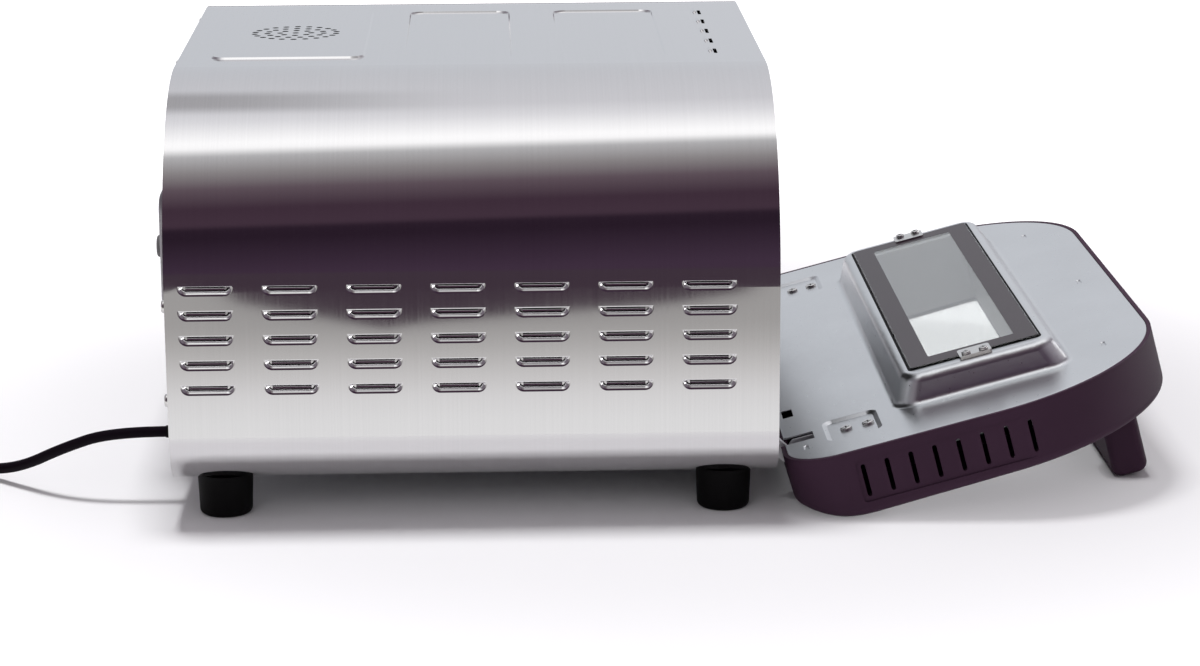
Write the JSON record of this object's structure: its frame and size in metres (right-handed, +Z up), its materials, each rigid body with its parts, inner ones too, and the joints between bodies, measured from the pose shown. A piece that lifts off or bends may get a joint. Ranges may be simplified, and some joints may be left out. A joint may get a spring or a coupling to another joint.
{
  "type": "bread machine",
  "caption": "Front-loading bread machine: stainless wrap casing with louvred sides, drop-down door with a window and bar handle, oven chamber, lift-out pan and belt-driven paddle.",
  "frame": {"origin": "on the floor under the middle of the object's box with the door open, without the cord", "axes": "+X to the machine's left as its user faces the door, +Y to the rear where the cord leaves, +Z up"},
  "size_m": [0.435, 0.7677, 0.2382],
  "materials": {
    "stainless": "brushed",
    "plated_steel": "satin",
    "rear_sheet": "satin",
    "grey_rubber": "matte",
    "chamber_steel": "satin",
    "steel_pins": "polished",
    "heater": "matte",
    "ceramic": "matte",
    "pan_coating": "satin",
    "bearing_bronze": "satin",
    "pulley_nylon": "matte",
    "black_rubber": "matte",
    "gasket_silicone": "matte",
    "dark_plastic": "satin",
    "grey_plastic": "satin",
    "clear_glass": "polished",
    "fascia": "gloss",
    "button_plastic": "satin",
    "circuit_board": "satin",
    "display_glass": "gloss",
    "pin_brass": "polished"
  },
  "bodies": {
    "casing": {"casing_wrap": "stainless", "base_plate": "plated_steel", "feet": "black_rubber", "foot_screws": "steel_pins", "rear_panel": "rear_sheet", "rear_cover": "rear_sheet", "rear_bumpers": "grey_rubber", "casing_screws": "steel_pins", "front_frame": "plated_steel", "oven_chamber": "chamber_steel", "door_gasket": "gasket_silicone", "door_magnets": "steel_pins", "heater_element": "heater", "heater_bushes": "ceramic", "temperature_probe": "chamber_steel", "fan_guard": "chamber_steel", "fan_motor": "plated_steel", "drive_bearing": "bearing_bronze", "drive_belt": "black_rubber", "drive_motor": "plated_steel", "motor_bracket": "plated_steel", "pan_clips": "chamber_steel", "power_board": "circuit_board", "transformer": "plated_steel", "hinge_brackets": "steel_pins", "hinge_pins": "steel_pins", "cord_gland": "black_rubber", "mains_cord": "black_rubber", "cord_coil": "black_rubber", "cord_tie": "black_rubber", "plug_body": "black_rubber", "plug_pins": "pin_brass"},
    "door": {"door_shell": "dark_plastic", "door_inner_panel": "stainless", "glass_seal": "black_rubber", "inner_glass": "clear_glass", "glass_clips": "steel_pins", "door_screws": "steel_pins", "window_tunnel": "grey_plastic", "outer_glass": "clear_glass", "control_fascia": "fascia", "control_board": "circuit_board", "display": "display_glass", "door_handle": "dark_plastic", "hinge_leaves": "steel_pins"},
    "pan": {"bread_pan": "pan_coating"},
    "paddle": {"pan_shaft": "steel_pins", "kneading_paddle": "pan_coating"},
    "pan_bail": {"pan_handle": "steel_pins"},
    "drive": {"drive_shaft": "steel_pins", "drive_pulley": "pulley_nylon"},
    "rotor": {"motor_pulley": "steel_pins"},
    "fan": {"fan_blade": "chamber_steel"},
    "button_menu": {"button_menu": "button_plastic"},
    "button_crust": {"button_crust": "button_plastic"},
    "button_loaf": {"button_loaf": "button_plastic"},
    "button_minus": {"button_minus": "button_plastic"},
    "button_plus": {"button_plus": "button_plastic"},
    "button_start": {"button_start": "button_plastic"}
  },
  "joints": [
    {"name": "door_hinge", "type": "hinge", "parent": "casing", "child": "door", "pos_m": [0, -0.06989, 0.0219], "axis": [-1, 0, 0], "range_deg": [0, 75.12]},
    {"name": "pan_lift", "type": "slide", "parent": "casing", "child": "pan", "axis": [0, 0, 1], "range_m": [0, 0.014]},
    {"name": "pan_handle_swing", "type": "hinge", "parent": "pan", "child": "pan_bail", "pos_m": [0, 0.00936, 0.164], "axis": [-1, 0, 0], "range_deg": [0, 100]},
    {"name": "drive_spin", "type": "hinge", "parent": "casing", "child": "drive", "pos_m": [0, 0.08161, 0.041], "axis": [0, 0, 1], "continuous": true},
    {"name": "motor_spin", "type": "hinge", "parent": "casing", "child": "rotor", "pos_m": [0.191, 0.08161, 0.041], "axis": [0, 0, 1], "continuous": true},
    {"name": "paddle_spin", "type": "hinge", "parent": "pan", "child": "paddle", "pos_m": [0, 0.08161, 0.09], "axis": [0, 0, 1], "continuous": true},
    {"name": "fan_spin", "type": "hinge", "parent": "casing", "child": "fan", "pos_m": [0, 0.21361, 0.133], "axis": [0, 1, 0], "continuous": true},
    {"name": "button_menu_press", "type": "slide", "parent": "door", "child": "button_menu", "axis": [0, 0.275, 0.9614], "range_m": [0, 0.001], "stiffness_N_per_m": 400},
    {"name": "button_crust_press", "type": "slide", "parent": "door", "child": "button_crust", "axis": [0, 0.275, 0.9614], "range_m": [0, 0.001], "stiffness_N_per_m": 400},
    {"name": "button_loaf_press", "type": "slide", "parent": "door", "child": "button_loaf", "axis": [0, 0.275, 0.9614], "range_m": [0, 0.001], "stiffness_N_per_m": 400},
    {"name": "button_minus_press", "type": "slide", "parent": "door", "child": "button_minus", "axis": [0, 0.275, 0.9614], "range_m": [0, 0.001], "stiffness_N_per_m": 400},
    {"name": "button_plus_press", "type": "slide", "parent": "door", "child": "button_plus", "axis": [0, 0.275, 0.9614], "range_m": [0, 0.001], "stiffness_N_per_m": 400},
    {"name": "button_start_press", "type": "slide", "parent": "door", "child": "button_start", "axis": [0, 0.275, 0.9614], "range_m": [0, 0.001], "stiffness_N_per_m": 400}
  ],
  "couplings": [
    {"joint": "motor_spin", "follows": "drive_spin", "ratio": 5.6231},
    {"joint": "paddle_spin", "follows": "drive_spin", "ratio": 1}
  ]
}
